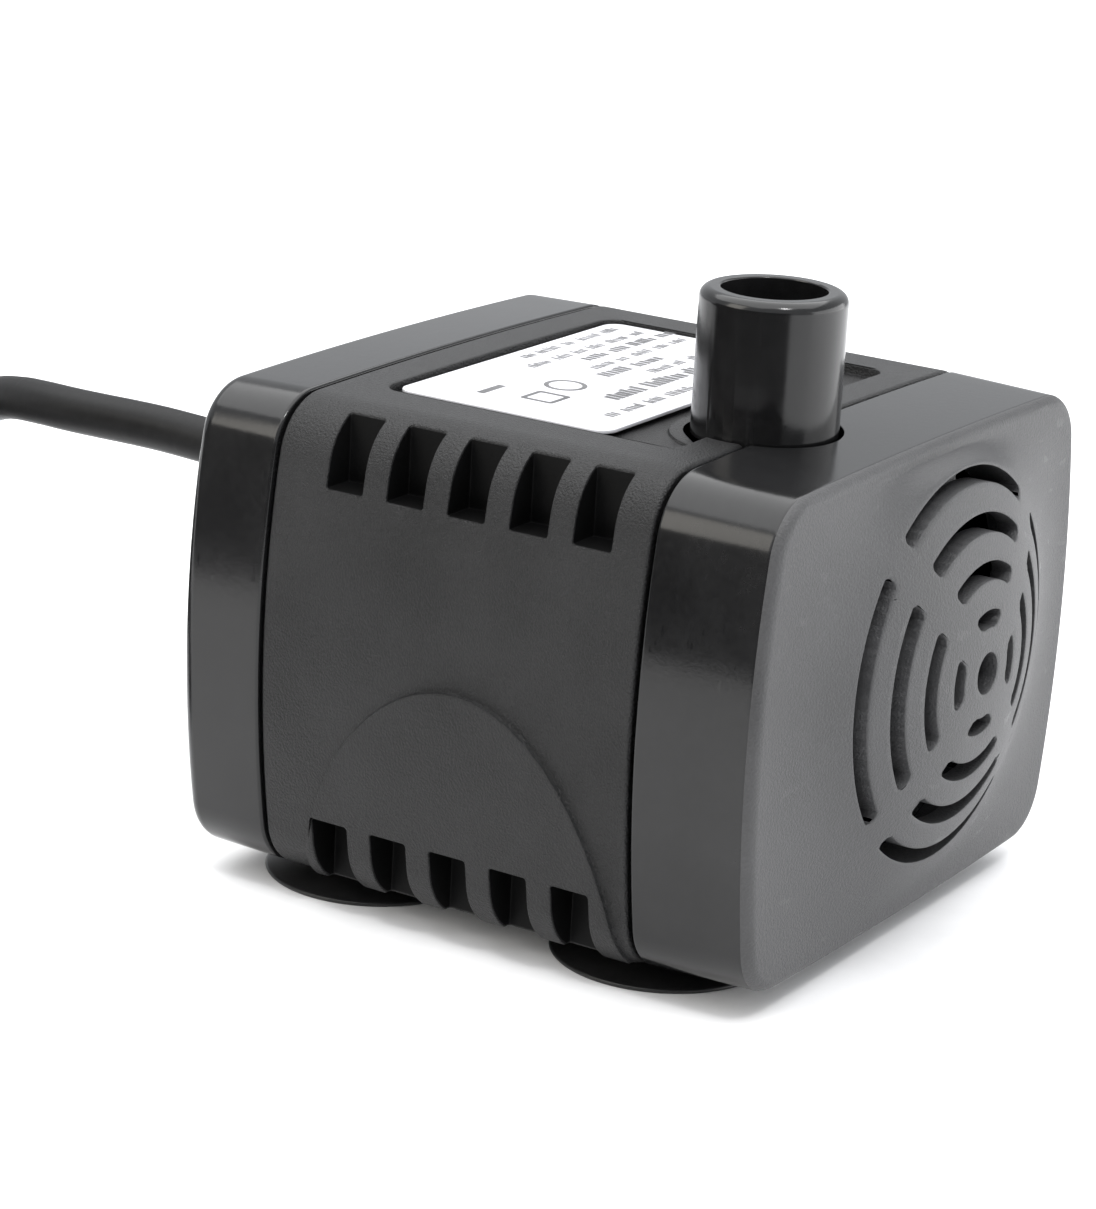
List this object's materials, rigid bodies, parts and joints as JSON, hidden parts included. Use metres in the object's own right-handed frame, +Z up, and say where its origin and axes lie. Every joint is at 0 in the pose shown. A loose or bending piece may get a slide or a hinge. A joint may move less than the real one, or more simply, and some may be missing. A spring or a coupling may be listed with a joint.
{
  "type": "wave maker pump",
  "caption": "Small submersible aquarium pump with domed slotted intake grille, upright hose outlet, suction feet and a thin low-voltage lead.",
  "frame": {"origin": "on the floor under the middle of the pump, cord left out", "axes": "+Z up, -Y the way the intake grille faces, +Y the way the cord leaves, +X to the right for someone facing the grille"},
  "size_m": [0.0645, 0.155, 0.0446],
  "materials": {
    "textured_plastic": "fine-grained black moulded plastic",
    "cover_plastic": "black moulded plastic with polished side bands",
    "gloss_plastic": "polished black",
    "label_film": "white printed film, satin",
    "soft_rubber": "matt black rubber",
    "cup_rubber": "smooth black rubber with a slight sheen",
    "ceramic": "ground ceramic",
    "nylon": "natural nylon",
    "ferrite": "dark sintered ferrite",
    "laminated_steel": "stacked sheet",
    "copper_wire": "enamelled copper winding",
    "circuit_board": "green solder mask",
    "chip_resin": "moulded resin",
    "capacitor_resin": "moulded resin",
    "red_wire": "satin wire insulation",
    "black_wire": "satin wire insulation",
    "cord_sheath": "satin black cord sheath",
    "tie_band": "black hook-and-loop band",
    "plug_moulding": "satin black moulding",
    "plug_steel": "bright plated steel"
  },
  "bodies": {
    "housing": {"motor_casing": "textured_plastic", "rear_cover": "cover_plastic", "rating_label": "label_film", "pump_head": "gloss_plastic", "chamber_seal": "soft_rubber", "front_bush": "ceramic", "rear_bush": "soft_rubber", "stator_core": "laminated_steel", "coil_bobbin_left": "nylon", "coil_bobbin_right": "nylon", "coil_winding_left": "copper_wire", "coil_winding_right": "copper_wire", "driver_board": "circuit_board", "driver_chip": "chip_resin", "smoothing_capacitor": "capacitor_resin", "hall_sensor": "chip_resin", "motor_lead_positive": "red_wire", "motor_lead_negative": "black_wire", "suction_cup_front_left": "cup_rubber", "suction_cup_front_right": "cup_rubber", "suction_cup_rear_left": "cup_rubber", "suction_cup_rear_right": "cup_rubber", "cord_gland": "soft_rubber", "power_cord": "cord_sheath", "cord_coil": "cord_sheath", "cord_tail": "cord_sheath", "coil_tie_near": "tie_band", "coil_tie_far": "tie_band", "plug_grip": "plug_moulding", "plug_shell": "plug_steel", "plug_tongue": "chip_resin"},
    "front_cover": {"front_cover": "cover_plastic"},
    "rotor": {"rotor_shaft": "ceramic", "front_washer": "nylon", "impeller": "gloss_plastic", "rotor_magnet": "ferrite", "rear_washer": "nylon"}
  },
  "joints": [
    {"name": "rotor_spin", "type": "hinge", "parent": "housing", "child": "rotor", "pos_m": [0, 0, 0.0184], "axis": [0, 1, 0], "continuous": true},
    {"name": "front_cover_pull", "type": "slide", "parent": "housing", "child": "front_cover", "axis": [0, -1, 0], "range_m": [0, 0.02]}
  ]
}
